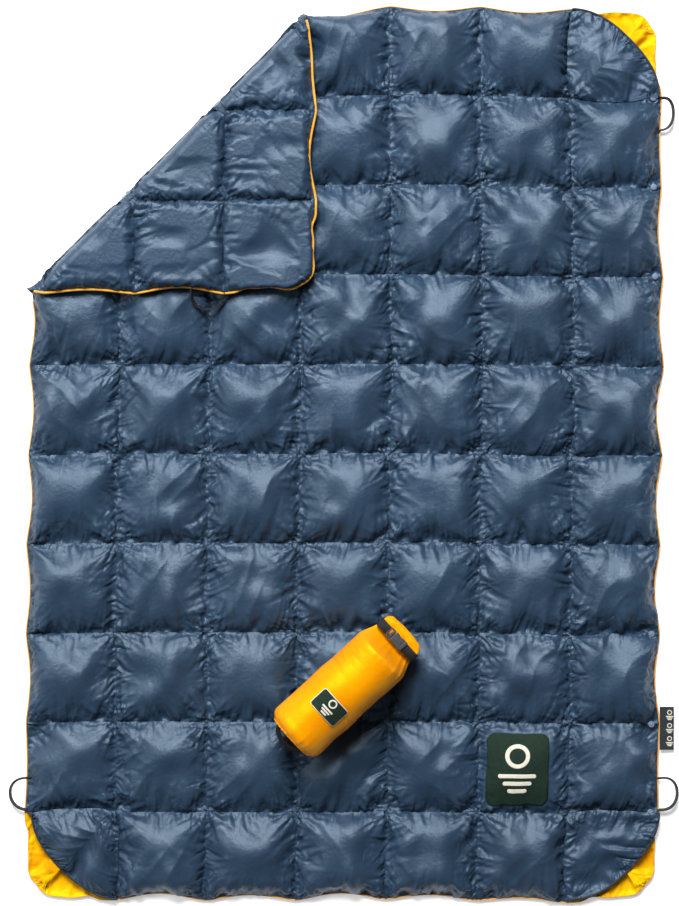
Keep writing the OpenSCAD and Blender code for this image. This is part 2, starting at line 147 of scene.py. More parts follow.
class Cloth:
    """Two layers of cloth on one grid: x and y are the plan, hold marks sewn points, pin marks fixed ones."""

    def __init__(self, x, y, excess, loft, seam_z):
        self.x, self.y = x.astype(np.float32), y.astype(np.float32)
        self.shape = x.shape
        self.excess, self.loft = excess, loft.astype(np.float32)
        self.seam_z = seam_z.astype(np.float32)
        self.floor = np.full(self.shape, GROUND, np.float32)
        self.roof = np.full(self.shape, 1000, np.float32)
        self.creases_x = np.zeros(self.shape[1], bool)
        self.creases_y = np.zeros(self.shape[0], bool)

    def sew(self, hold, pin):
        """Sets the sewn and the fixed points, and from the plan as it is now every link's rest length."""
        self.hold, self.pin, self.free = hold, pin, ~hold
        ex = 1 + self.excess
        x, y = self.x, self.y

        def rest(a, b, part):
            dx, dy = x[a] - x[b], y[a] - y[b]
            return np.sqrt(dx * dx + dy * dy) * part

        sewn_x, sewn_y = hold[:, 1:] & hold[:, :-1], hold[1:] & hold[:-1]
        self.rest_x = rest((..., HIGH), (..., LOW), np.where(sewn_x, SEAM_SLACK, ex[:, 1:]))
        self.rest_y = rest((HIGH,), (LOW,), np.where(sewn_y, SEAM_SLACK, ex[1:]))
        self.rest_d = rest((HIGH, HIGH), (LOW, LOW), ex[1:, 1:])
        self.rest_e = rest((HIGH, LOW), (LOW, HIGH), ex[1:, 1:])
        self.area = float(np.mean(self.rest_x)) * float(np.mean(self.rest_y))

    def chart(self, ax, ay, cell, columns, rows, bump, n, crease):
        """What the wrinkles need: places along the chambers, their sizes, and how strongly to crease."""
        self.ax, self.ay, self.cell, self.columns, self.rows = ax, ay, cell, columns, rows
        self.bump, self.n, self.crease = bump, n, crease

    def keep_apart(self, P):
        """Keeps both layers between the floor and the roof, the front one above the back one."""
        P[2, FRONT] = np.clip(P[2, FRONT], self.floor + GROUND_GAP, self.roof)
        P[2, BACK] = np.clip(P[2, BACK], self.floor, P[2, FRONT] - LAYER_GAP * self.free)

    def relax(self, P, steps, bend, press, damp):
        """Steps in position: the down's pressure, stretch and bending put right, then seams and contacts."""
        links = [((..., HIGH), (..., LOW), self.rest_x, PULL),
                 ((..., HIGH, EVERY), (..., LOW, EVERY), self.rest_y, PULL),
                 ((..., HIGH, HIGH), (..., LOW, LOW), self.rest_d, PULL / 4),
                 ((..., HIGH, LOW), (..., LOW, HIGH), self.rest_e, PULL / 4)]
        side = np.array([1, -1], np.float32)[:, None, None]
        V, M = np.zeros_like(P), np.zeros_like(P)
        for step in range(steps):
            if step % 4 == 0:
                du = P[:, :, 1:-1, 2:] - P[:, :, 1:-1, :-2]
                dv = P[:, :, 2:, 1:-1] - P[:, :, :-2, 1:-1]
                push = press * np.clip(1 - (P[2, FRONT] - P[2, BACK]) / self.loft, -0.5, 1)
                force = np.cross(du, dv, axis=0) * (0.25 / self.area) * (push[1:-1, 1:-1] * side)
            old = P.copy()
            V *= damp
            V[:, :, 1:-1, 1:-1] += force
            P += V
            M[:] = 0
            for a, b, rest, k in links:
                d = P[a] - P[b]
                d *= k * (1 - rest / np.sqrt(np.einsum("cijk,cijk->ijk", d, d) + 1e-9))
                M[b] += d
                M[a] -= d
            for axis, creases in ((-1, self.creases_x), (-2, self.creases_y)):
                Q, N = np.moveaxis(P, axis, -1), np.moveaxis(M, axis, -1)
                B = Q[..., :-2] - 2 * Q[..., 1:-1] + Q[..., 2:]
                B[..., creases[1:-1]] = 0
                B *= bend
                N[..., :-2] -= B
                N[..., 2:] -= B
                N[..., 1:-1] += 2 * B
            P += M
            sewn = 0.5 * (P[:, FRONT][:, self.hold] + P[:, BACK][:, self.hold])
            sewn[2] = self.seam_z[self.hold]
            for layer in (FRONT, BACK):
                P[:, layer][:, self.hold] = sewn
                P[0, layer][self.pin] = self.x[self.pin]
                P[1, layer][self.pin] = self.y[self.pin]
            self.keep_apart(P)
            V = P - old
        return P


def finer(P):
    """The same surface on a grid twice as fine."""
    for axis in (2, 3):
        A = np.moveaxis(P, axis, -1)
        out = np.empty(A.shape[:-1] + (2 * A.shape[-1] - 1,), np.float32)
        out[..., ::2] = A
        mid = 0.5 * (A[..., 1:] + A[..., :-1])
        mid[..., 1:-1] = 0.5625 * (A[..., 1:-2] + A[..., 2:-1]) - 0.0625 * (A[..., :-3] + A[..., 3:])
        out[..., 1::2] = mid
        P = np.moveaxis(out, -1, axis)
    return P


def normals(Q):
    """Unit normals of a grid of points Q[3, ny, nx]."""
    N = np.cross(np.gradient(Q, axis=2), np.gradient(Q, axis=1), axis=0)
    return N / (np.linalg.norm(N, axis=0) + 1e-9)


# ---- the quilt's plan
CORNER_R = {(1, 1): 90, (1, -1): 96, (-1, -1): 96, (-1, 1): 66}     # by the signs of a corner's x and y
CHAMBER_EXCESS = 0.075      # how much wider than its place in the plan a chamber's cloth is cut
CHAMBER_LOFT = 58           # how far apart the down pushes the layers in a chamber's middle
CORNER_LOFT = 12            # the same under the padded panels of the corners
EDGE_Z = 9                  # the height of the outer edge, away from the fold
FLAP_FLOOR = -4             # the folded corner's upper face puffs out, so it lies lower when unfolded


def rounded(x, y, half_x, half_y, radius):
    """Draws a rectangle's grid in at its corners, so that its border has round corners."""
    a, b = np.abs(x) - (half_x - radius), np.abs(y) - (half_y - radius)
    inside = (a > 0) & (b > 0)
    a, b = np.maximum(a, 1e-6), np.maximum(b, 1e-6)
    k = np.where(inside, np.maximum(a, b) / np.hypot(a, b), 1)
    return (np.where(inside, np.sign(x) * (half_x - radius + a * k), x),
            np.where(inside, np.sign(y) * (half_y - radius + b * k), y))


def quilt_plan(n):
    """The plan on n grid steps a chamber: square lines, then where they lie with round corners."""
    gx = np.linspace(-HALF_W, HALF_W, COLUMNS * n + 1)
    gy = np.linspace(-HALF_L, HALF_L, ROWS * n + 1)
    X, Y = np.meshgrid(gx, gy)
    x, y = X.copy(), Y.copy()
    for (sx, sy), radius in CORNER_R.items():
        rx, ry = rounded(X, Y, HALF_W, HALF_L, radius)
        here = (X * sx > 0) & (Y * sy > 0)
        x, y = np.where(here, rx, x), np.where(here, ry, y)
    return gx, gy, X, Y, x, y


def scalloped(X, Y, x, y, rng):
    """Pulls the outer edge in between the seams, and lets the quilt lie a little askew."""
    depth = rng.uniform(7, 15, (4, 12))
    depth[(0, 1, 1), (1, 1, 8)] = 3         # beside the webbing loops
    along_x, along_y = (X + HALF_W) / CELL_X, (Y + HALF_L) / CELL_Y
    sides = ((along_y, along_x, 1, 0), (along_y, COLUMNS - along_x, -1, 0),
             (along_x, along_y, 0, 1), (along_x, ROWS - along_y, 0, -1))
    for chamber_depth, (t, inward, to_x, to_y) in zip(depth, sides):
        cell = np.clip(t.astype(int), 0, len(chamber_depth) - 1)
        pull = chamber_depth[cell] * np.abs(np.sin(np.pi * t)) ** 1.3 * np.clip(1 - inward, 0, 1) ** 2
        x, y = x + pull * to_x, y + pull * to_y
    # the whole quilt leans and sways a little, less so near the fold, and is drawn in at the fold's upper end
    lean = -6 * smoothstep(0, 1, -Y / LENGTH + 0.5) + 3 * np.sin(Y / 310 + 1) + 2 * np.sin(Y / 130)
    sway = 3 * np.sin(X / 240 + 2) + 2 * np.sin(X / 110)
    shy = 1 - 0.7 * smoothstep(-260, -20, u_of(X, Y))
    drawn = 19 * (1 - smoothstep(0, 130, np.hypot(X - (HALF_L - FOLD_C), Y - HALF_L)))
    # the edge wanders a little round each corner, where it is cut to a curve
    far_x, far_y = np.abs(X) - INNER_X, np.abs(Y) - INNER_Y
    turn = np.arctan2(np.maximum(far_y, 0), np.maximum(far_x, 0))
    loose = (2.4 * np.sin(13 * turn + 1) + 2.0 * np.sin(23 * turn)) * smoothstep(0, 0.5, np.sin(2 * turn))
    loose = loose * smoothstep(130, 190, np.hypot(far_x, far_y)) * ((far_x > 0) & (far_y > 0))
    x = x + np.sign(X) * loose * np.cos(turn)
    y = y + np.sign(Y) * loose * np.sin(turn)
    return x + lean * shy - drawn, y + sway * shy - drawn


def to_sack(x, y):
    """Plan places as seen from the sack: along its axis and across it."""
    dx, dy = x - SACK_FROM[0], y - SACK_FROM[1]
    return dx * SACK_X[0] + dy * SACK_X[1], dx * SACK_Y[0] + dy * SACK_Y[1]


def quilt_cloth(n):
    """The quilt on n grid steps a chamber, with its seams, its loft, and what keeps it down."""
    gx, gy, X, Y, x, y = quilt_plan(n)
    rng = np.random.default_rng(11)
    sewn_x, sewn_y = np.arange(len(gx)) % n == 0, np.arange(len(gy)) % n == 0
    hold = sewn_y[:, None] | sewn_x[None, :]
    s, t = (np.arange(len(gx)) % n) / n, (np.arange(len(gy)) % n) / n
    bump = np.sin(np.pi * s)[None, :] * np.sin(np.pi * t)[:, None]
    excess = CHAMBER_EXCESS * (1 + 0.35 * noise(X.shape, 0.6 * n, rng))
    loft = CHAMBER_LOFT * (1 + 0.16 * noise(X.shape, 0.8 * n, rng)) * (0.3 + 0.7 * bump ** 0.5)
    u = u_of(X, Y)
    flap = u > 0
    border = (np.abs(X) > HALF_W - 1) | (np.abs(Y) > HALF_L - 1)
    corner = (np.abs(X) > INNER_X) & (np.abs(Y) > INNER_Y)
    droop = np.where(flap, SEAM_Z + 6 * smoothstep(0, 90, u), EDGE_Z + 5 * smoothstep(-90, 0, u))
    edge = np.minimum(HALF_W - np.abs(X), HALF_L - np.abs(Y))
    loft = loft * (0.2 + 0.8 * smoothstep(0, 75, edge))
    loft = np.where(corner & ~flap, CORNER_LOFT, loft)
    excess = np.where(corner, 0.09, excess)
    cloth = Cloth(x, y, excess, loft, np.where(border, droop, SEAM_Z))
    cloth.creases_x, cloth.creases_y = sewn_x, sewn_y
    cloth.sew(hold, sewn_y[:, None] & sewn_x[None, :] | border)
    cloth.x, cloth.y = (a.astype(np.float32) for a in scalloped(X, Y, x, y, np.random.default_rng(12)))
    cloth.floor[flap & ~corner] = FLAP_FLOOR
    # what lies over the cloth: the folded corner, the padded panels, the sack and the snaps
    mirror_x, mirror_y = Y - FOLD_C, X + FOLD_C
    under = (np.abs(mirror_x) < HALF_W - 4) & (np.abs(mirror_y) < HALF_L - 4) & ~flap
    cloth.roof[flap | under] = SHELL_TOP - 0.3
    inner = np.minimum(np.abs(X) - INNER_X, np.abs(Y) - INNER_Y)
    cloth.roof[corner] = (SEAM_Z + 0.2 + 2.8 * smoothstep(0, 45, inner))[corner]
    on_axis, across = to_sack(X, Y)
    drop = SACK_R - np.sqrt(np.clip(SACK_R ** 2 - across ** 2, 0, None))
    below = (np.abs(across) < SACK_R - 1) & (on_axis > SACK_BASE - 4) & (on_axis < SACK_SHOULDER + 10)
    cloth.roof[below] = (SACK_Z + drop - 0.6)[below]
    for row in CAP_ROWS + STUD_ROWS:
        r = np.hypot(X - SNAP_X, Y - (HALF_L - row * CELL_Y))
        cloth.roof = np.minimum(cloth.roof, SEAM_Z + 0.4 + 0.8 * np.clip(r - 9, 0, 500)).astype(np.float32)
    cloth.X, cloth.Y = X, Y
    crease = np.where(corner, 0.3, 0.45 + 0.55 * smoothstep(0, 50, edge))
    cloth.chart(X + HALF_W, Y + HALF_L, (CELL_X, CELL_Y), COLUMNS, ROWS, bump, n, crease)
    return cloth


def lifted(cloth, top, low, rng):
    """The first guess: domed chambers with a little unevenness for the wrinkles to grow from."""
    P = np.zeros((3, 2) + cloth.shape, np.float32)
    P[0], P[1], P[2] = cloth.x, cloth.y, cloth.seam_z
    dome = cloth.bump ** 0.6
    P[2, FRONT] += (dome * top + 0.5 * noise(cloth.shape, 2.2, rng)) * cloth.free
    P[2, BACK] -= (dome * low + 0.5 * noise(cloth.shape, 2.2, rng)) * cloth.free
    return P


def ridges(lines, along, line, dist, rng, step, reach, slant, crisp):
    """Puckers that leave a seam: a row of ridges for each line, each with its own reach and slant."""
    size = int(along.max()) + 80
    crest = noise((lines, size), (0.01, step), rng)
    far = reach[0] + (reach[1] - reach[0]) * (0.5 + 0.5 * noise((lines, size), (0.01, step * 1.6), rng)) ** 2
    lean = slant * noise((lines, size), (0.01, step * 6), rng)
    at = np.clip(along, 0, size - 1).astype(int)
    shifted = np.clip(along + lean[line, at] * dist, 0, size - 1).astype(int)
    crests = crest[line, shifted]
    if crisp:
        crests = 0.6 - 2 * np.abs(crests)
    return crests * np.exp(-(dist / far[line, shifted]) ** 2) * dist / (dist + 2.5)


def in_chambers(cloth):
    """For each grid point its column and row, and how far it is from the chamber's left and lower seams."""
    wide, long = cloth.cell
    col = np.minimum(cloth.ax // wide, cloth.columns - 1).astype(int)
    row = np.minimum(cloth.ay // long, cloth.rows - 1).astype(int)
    return col, row, cloth.ax - col * wide, cloth.ay - row * long


def fans(cloth, rng, step, reach):
    """Wrinkles that radiate from the crossings of the seams."""
    wide, long = cloth.cell
    col, row, fx, fy = in_chambers(cloth)
    near_x = np.maximum(np.minimum(fx, wide - fx), 0)
    near_y = np.maximum(np.minimum(fy, long - fy), 0)
    r, angle = np.hypot(near_x, near_y), np.arctan2(near_y, near_x) / (math.pi / 2)
    right, upper = fx > wide / 2, fy > long / 2
    corner = ((row + upper) * (cloth.columns + 1) + col + right) * 4 + 2 * upper + right
    fan = noise((corner.max() + 1, 64), (0.01, step), rng)[corner, (angle * 60).astype(int)]
    return fan * np.exp(-(r / reach) ** 2) * r / (r + 8)


def displaced(P, cloth, amounts):
    """Each layer moved along its own normals, inside the floor and the roof."""
    for layer, amount in enumerate(amounts):
        P[:, layer] += normals(P[:, layer]) * (amount * cloth.free)
    cloth.keep_apart(P)
    return P


def gathers(cloth, rng, crisp, recipe):
    """Ridges along every chamber's four seams."""
    wide, long = cloth.cell
    col, row, fx, fy = in_chambers(cloth)
    seams = ((cloth.rows, cloth.ax, row, fy), (cloth.rows, cloth.ax, row, long - fy),
             (cloth.columns, cloth.ay, col, fx), (cloth.columns, cloth.ay, col, wide - fx))
    return sum(weight * ridges(*seam, rng, step, reach, slant, crisp)
               for seam, (weight, step, reach, slant) in zip(seams, recipe))


# the ridges at a chamber's lower, upper, left and right seam: weight, spacing, (least, most) reach, slant
PUCKERS = ((1.9, 9.0, (18, 70), 0.4),
           (0.9, 7.0, (10, 46), 0.4),
           (1.2, 8.0, (12, 52), 0.9),
           (1.2, 8.0, (12, 52), 0.9))
CREASES = ((1.2, 6.0, (14, 62), 0.5),
           (0.8, 5.0, (7, 32), 0.5),
           (1.3, 5.5, (10, 40), 1.3),
           (1.3, 5.5, (10, 40), 1.3))


def puckered(P, cloth, amount, rng):
    """Gathers the cloth along every seam and round every crossing, both layers."""
    amounts = []
    for _ in (FRONT, BACK):
        total = gathers(cloth, rng, False, PUCKERS)
        total += 2.0 * fans(cloth, rng, 5.0, 42)
        total += 1.5 * noise(cloth.shape, (0.28 * cloth.n, 0.2 * cloth.n), rng) * cloth.bump
        amounts.append(amount * total)
    return displaced(P, cloth, amounts)


def creased(P, cloth, amount, rng):
    """The sharp small creases: short gathers at the seams, and long thin wrinkles across the chambers."""
    amounts = []
    for _ in (FRONT, BACK):
        total = gathers(cloth, rng, True, CREASES)
        total += 0.9 * fans(cloth, rng, 3.0, 50)
        bent = 26 * noise(cloth.shape, 0.55 * cloth.n, rng) + 14 * noise(cloth.shape, 0.3 * cloth.n, rng)
        for slope in (0.9, -0.6):
            line = np.abs(np.sin((cloth.ax + slope * cloth.ay + bent) / 15.0))
            patch = smoothstep(0.1, 0.7, noise(cloth.shape, 0.42 * cloth.n, rng))
            total += 0.7 * (0.35 - line ** 0.7) * patch * cloth.bump ** 0.5
        amounts.append(amount * cloth.crease * total)
    return displaced(P, cloth, amounts)


def solve_quilt():
    """The quilt's cloth at its finest grid, and its points [3, layer, ny, nx]: coarse first, then finer."""
    levels = ((16, 32, 64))
    cloth = quilt_cloth(levels[0])
    P = lifted(cloth, top=20, low=12, rng=np.random.default_rng(5))
    P = cloth.relax(P, 220, bend=0.015, press=0.0024, damp=0.985)
    for n in levels[1:]:
        cloth = quilt_cloth(n)
        P = finer(P)
        if n == 32:
            P = cloth.relax(P, 160, bend=0.012, press=0.0009, damp=0.98)
        P = puckered(P, cloth, 6.0 if n == 64 else 3.0, np.random.default_rng(7 + n))
        P = cloth.relax(P, 10, bend=0.002, press=0.0002, damp=0.9)
    P = creased(P, cloth, 4.2, np.random.default_rng(91))
    return cloth, P


# ---- meshes
def grid_quads(nx, ny):
    """Faces of a grid whose points run along x first."""
    a = (np.arange(ny - 1)[:, None] * nx + np.arange(nx - 1)[None, :]).ravel()
    return np.stack([a, a + 1, a + nx + 1, a + nx], 1)


def flipped(faces, when=True):
    """The same faces, looking the other way."""
    return [f[::-1] for f in faces] if when else faces


def piece(name, mesh_parts, slot, body, *stands_for):
    """A mesh from (points, faces), riding on a body and replacing the CAD nodes it stands for."""
    points, faces = mesh_parts
    mesh = bpy.data.meshes.new(name)
    mesh.from_pydata((np.asarray(points, float) * MM).tolist(), [], [list(map(int, f)) for f in faces])
    mesh.polygons.foreach_set("use_smooth", [True] * len(mesh.polygons))
    mesh.update()
    obj = bpy.data.objects.new(name, mesh)
    bpy.context.scene.collection.objects.link(obj)
    mesh.materials.append(FINISH[slot])
    if body:
        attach(obj, body)
    if stands_for:
        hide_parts(*stands_for)
    return obj


def joined(*parts):
    """Several (points, faces) as one."""
    points, faces, start = [], [], 0
    for p, f in parts:
        points.append(np.asarray(p, float))
        faces.extend([[i + start for i in face] for face in f])
        start += len(p)
    return np.concatenate(points), faces


def shell(top, low):
    """A closed slab between two grids of points [3, ny, nx]."""
    ny, nx = top.shape[1:]
    count = nx * ny
    quads = grid_quads(nx, ny)
    index = np.arange(count).reshape(ny, nx)
    rim = np.concatenate([index[0, :-1], index[:-1, -1], index[-1, :0:-1], index[:0:-1, 0]])
    after = np.roll(rim, -1)
    sides = np.stack([rim, rim + count, after + count, after], 1)
    points = np.concatenate([top.reshape(3, -1).T, low.reshape(3, -1).T])
    return points, np.concatenate([quads, quads[:, ::-1] + count, sides])


def sheet_grid(top, turned=False):
    """A single layer of cloth from a grid of points."""
    return top.reshape(3, -1).T, flipped(grid_quads(top.shape[2], top.shape[1]), turned)


def slab(p, n, high, low):
    """A closed slab about a grid of points, from low to high along its normals."""
    return shell(p + n * high, p + n * low)


def along(path):
    """Unit tangents of a path of points."""
    t = np.gradient(np.asarray(path, float), axis=0)
    return t / (np.linalg.norm(t, axis=1, keepdims=True) + 1e-9)


def ring_faces(rings, count, closed=False):
    """Faces between rings of points, with a cap at each end unless the last ring meets the first."""
    faces = []
    for i in range(rings if closed else rings - 1):
        a, b = i * count, (i + 1) % rings * count
        for s in range(count):
            e = (s + 1) % count
            faces.append([a + s, a + e, b + e, b + s])
    if not closed:
        faces.append(list(range(count))[::-1])
        faces.append([(rings - 1) * count + s for s in range(count)])
    return faces


def swept(path, section, up=UP, closed=False):
    """A section, as (sideways, upward) points, swept along a path, with caps unless it is closed."""
    path = np.asarray(path, float)
    if closed:
        t = along(np.concatenate([path[-2:], path, path[:2]]))[2:-2]
    else:
        t = along(path)
    side = np.cross(t, np.broadcast_to(np.asarray(up, float), path.shape))
    side /= np.linalg.norm(side, axis=1, keepdims=True) + 1e-9
    top = np.cross(side, t)
    section = np.asarray(section, float)
    points = path[:, None] + section[:, :1] * side[:, None] + section[:, 1:] * top[:, None]
    return points.reshape(-1, 3), ring_faces(len(path), len(section), closed)


def circle(radius, count=8, squash=1):
    """A round section, flatter with a smaller squash."""
    a = np.arange(count) * 2 * math.pi / count
    return np.stack([radius * np.cos(a), -radius * squash * np.sin(a)], 1)


def webbing(half, flat):
    """The section of a flat webbing, with thinned edges."""
    return [(-flat, -0.8), (-half, 0), (-flat, 0.8), (flat, 0.8), (half, 0), (flat, -0.8)][::-1]


def lathe(profile):
    """A profile of (radius, height) turned about Z."""
    count = 40
    a = np.arange(count) * 2 * math.pi / count
    points = [(r * math.cos(t), r * math.sin(t), z) for r, z in profile for t in a]
    return np.array(points), ring_faces(len(profile), count)


# ---- materials
def material(name, base, roughness, variation=0.12, scale=18, bump=(), sheen=0.0, coat=0.0, weave=None,
             specular=0.5, tint=None, gleam=(1, 1, 1)):
    """A procedural finish: colour from noise, bumps and weave as (scale per metre, depth in millimetres)."""
    made = bpy.data.materials.new(name)
    made.use_nodes = True
    nodes, links = made.node_tree.nodes, made.node_tree.links

    def fed(node, inputs):
        """The node, with each input set to a value or linked to another node's output."""
        for key, value in inputs.items():
            if isinstance(value, bpy.types.NodeSocket):
                links.new(value, node.inputs[key])
            else:
                node.inputs[key].default_value = value
        return node

    place = nodes.new("ShaderNodeTexCoord").outputs["Object"]

    def cloud(size, detail=3.0):
        values = {"Vector": place, "Scale": size, "Detail": detail}
        return fed(nodes.new("ShaderNodeTexNoise"), values).outputs["Fac"]

    def ramp(source, low, high):
        node = fed(nodes.new("ShaderNodeValToRGB"), {"Fac": source})
        for stop, at, colour in zip(node.color_ramp.elements, (0.3, 0.7), (low, high)):
            stop.position, stop.color = at, (*colour, 1)
        return node.outputs["Color"]

    dark = [c * (1 - variation) for c in base]
    light = [min(1, c * (1 + variation)) for c in tint or base]
    looks = {"Base Color": ramp(cloud(scale), dark, light),
             "Roughness": ramp(cloud(scale * 3), [roughness * 0.88] * 3, [min(1, roughness * 1.12)] * 3),
             "Specular IOR Level": specular, "Specular Tint": (*gleam, 1),
             "Sheen Weight": sheen, "Sheen Roughness": 0.4, "Coat Weight": coat}
    heights = [(cloud(size, 4.0), depth) for size, depth in bump]
    for axis in ("X", "Y") if weave else ():
        wave = fed(nodes.new("ShaderNodeTexWave"), {"Vector": place, "Scale": weave[0], "Distortion": 0.3})
        wave.bands_direction = axis
        heights.append((wave.outputs["Fac"], weave[1]))
    under = {}
    for source, depth in heights:
        values = {"Height": source, "Strength": 1.0, "Distance": depth * MM, **under}
        under = {"Normal": fed(nodes.new("ShaderNodeBump"), values).outputs["Normal"]}
    fed(nodes["Principled BSDF"], {**looks, **under})
    return made


FINISH = {
    "navy_shell": material("navy_nylon", (0.019, 0.041, 0.076), 0.38, 0.10, 9, bump=((420, 0.35), (120, 0.9)),
                           weave=(900, 0.03), sheen=0.02, specular=0.6, gleam=(0.68, 0.84, 1.0)),
    "navy_thread": material("navy_thread", (0.006, 0.010, 0.020), 0.7, 0.2, 300, bump=((1500, 0.1),)),
    "orange_piping": material("orange_piping", (0.78, 0.36, 0.02), 0.5, 0.15, 60, bump=((900, 0.15),),
                              weave=(1400, 0.05), sheen=0.3),
    "orange_lining": material("orange_lining", (0.86, 0.36, 0.002), 0.42, 0.16, 12, weave=(900, 0.03),
                              bump=((260, 0.6), (600, 0.25)), tint=(0.92, 0.48, 0.003),
                              gleam=(1.0, 0.85, 0.05)),
    "dark_binding": material("dark_binding", (0.012, 0.018, 0.030), 0.6, 0.2, 200, bump=((900, 0.12),),
                             weave=(1200, 0.05)),
    "black_webbing": material("black_webbing", (0.010, 0.011, 0.013), 0.55, 0.25, 300, bump=((900, 0.1),),
                              weave=(1100, 0.18)),
    "snap_shell": material("snap_metal", (0.13, 0.18, 0.26), 0.5, 0.08, 250, bump=((700, 0.05),),
                           specular=0.4),
    "tag_weave": material("tag_weave", (0.012, 0.020, 0.026), 0.7, 0.15, 200, bump=((800, 0.08),),
                          weave=(1500, 0.12)),
    "patch_green": material("patch_green", (0.008, 0.029, 0.017), 0.62, 0.22, 120, bump=((700, 0.2),),
                            weave=(1300, 0.15), specular=0.3),
    "emblem_cream": material("emblem_cream", (0.80, 0.76, 0.64), 0.6, 0.06, 150, bump=((900, 0.15),),
                             weave=(1500, 0.12)),
    "sack_gold": material("sack_gold", (0.84, 0.27, 0.001), 0.36, 0.06, 10, bump=((300, 0.35), (90, 0.8)),
                          weave=(900, 0.03), tint=(0.88, 0.32, 0.001), specular=0.95, gleam=(1.0, 0.9, 0.02)),
    "buckle_grey": material("buckle_plastic", (0.045, 0.047, 0.052), 0.38, 0.12, 120, bump=((1200, 0.05),),
                            coat=0.1),
}
FINISH["navy_back"] = FINISH["navy_shell"]


# ---- the solved quilt
cloth, P = solve_quilt()
GRID_X = np.linspace(-HALF_W, HALF_W, cloth.shape[1])
GRID_Y = np.linspace(-HALF_L, HALF_L, cloth.shape[0])


def on_cloth(layer, x, y):
    """Where plan points of a layer lie on the solved, flat quilt: an array [3, ...]."""
    fx = np.clip((np.asarray(x, float) + HALF_W) / WIDTH * (len(GRID_X) - 1), 0, len(GRID_X) - 1.001)
    fy = np.clip((np.asarray(y, float) + HALF_L) / LENGTH * (len(GRID_Y) - 1), 0, len(GRID_Y) - 1.001)
    ix, iy = fx.astype(int), fy.astype(int)
    fx, fy = fx - ix, fy - iy
    A = P[:, layer]
    return ((A[:, iy, ix] * (1 - fx) + A[:, iy, ix + 1] * fx) * (1 - fy)
            + (A[:, iy + 1, ix] * (1 - fx) + A[:, iy + 1, ix + 1] * fx) * fy)


def flat_patch(xs, ys, keep):
    """A grid of the plan, cut beside the fold: keep is (side, offset), side 1 for below it, or None."""
    X, Y = np.meshgrid(xs, ys)
    points = np.stack([X.ravel(), Y.ravel()], 1)
    quads = grid_quads(len(xs), len(ys))
    if keep is None:
        return points, quads
    side, offset = keep
    u = u_of(points[:, 0], points[:, 1])
    inside = side * (u - offset) <= 0
    count = inside[quads].sum(1)
    faces = quads[count == 4].tolist()
    extra, made = [], {}
    for quad in quads[(count > 0) & (count < 4)]:
        ring = []
        for a, b in zip(quad, np.roll(quad, -1)):
            if inside[a]:
                ring.append(int(a))
            if inside[a] != inside[b]:
                key = (min(a, b), max(a, b))
                if key not in made:
                    t = (offset - u[a]) / (u[b] - u[a])
                    made[key] = len(points) + len(extra)
                    extra.append(points[a] + t * (points[b] - points[a]))
                ring.append(made[key])
        faces.append(ring)
    points = np.concatenate([points, np.array(extra).reshape(-1, 2)])
    used = np.unique(np.concatenate([np.array(f) for f in faces])) if faces else np.array([], int)
    renumber = np.full(len(points), -1)
    renumber[used] = np.arange(len(used))
    return points[used], [[int(renumber[i]) for i in f] for f in faces]


BACK_CUT = 26        # how far from the fold line the back cloth gives way to the soft roll
PIPING_CUT = 10      # how far from the fold line the piping ends


def chambers(xs, ys, side):
    """The front and the back of some chambers, on one side of the fold line."""
    u = side * u_of(*np.meshgrid(xs, ys))
    parts = []
    for layer, offset in ((FRONT, 0), (BACK, -side * BACK_CUT)):
        keep = None if u.max() < side * offset else (side, offset)
        points, faces = flat_patch(xs, ys, keep)
        if len(points):
            solid = laid(on_cloth(layer, points[:, 0], points[:, 1]), side)
            parts.append((solid.T, flipped(faces, (layer == BACK) != (side < 0))))
    return joined(*parts)


def row_lines(row):
    """The grid's lines along one row of chambers, counted from the top."""
    lowest = (ROWS - row) * cloth.n
    return GRID_Y[lowest:lowest + cloth.n + 1]


def make_rows():
    for row in range(1, ROWS + 1):
        obj = piece(f"quilt_row_{row:02d}", chambers(GRID_X, row_lines(row), 1), "navy_shell", "quilt",
                    f"fill_row_{row:02d}", "front_shell", "back_shell")
    for row in range(1, math.ceil(FOLD_REACH / CELL_Y) + 1):
        ys = row_lines(row)
        xs = GRID_X[GRID_X < ys[-1] - FOLD_C + CELL_X / cloth.n * 2]
        obj = piece(f"flap_row_{row:02d}", chambers(xs, ys, -1), "navy_back", "corner_flap",
                    "flap_fill", "flap_front_shell", "flap_back_shell")


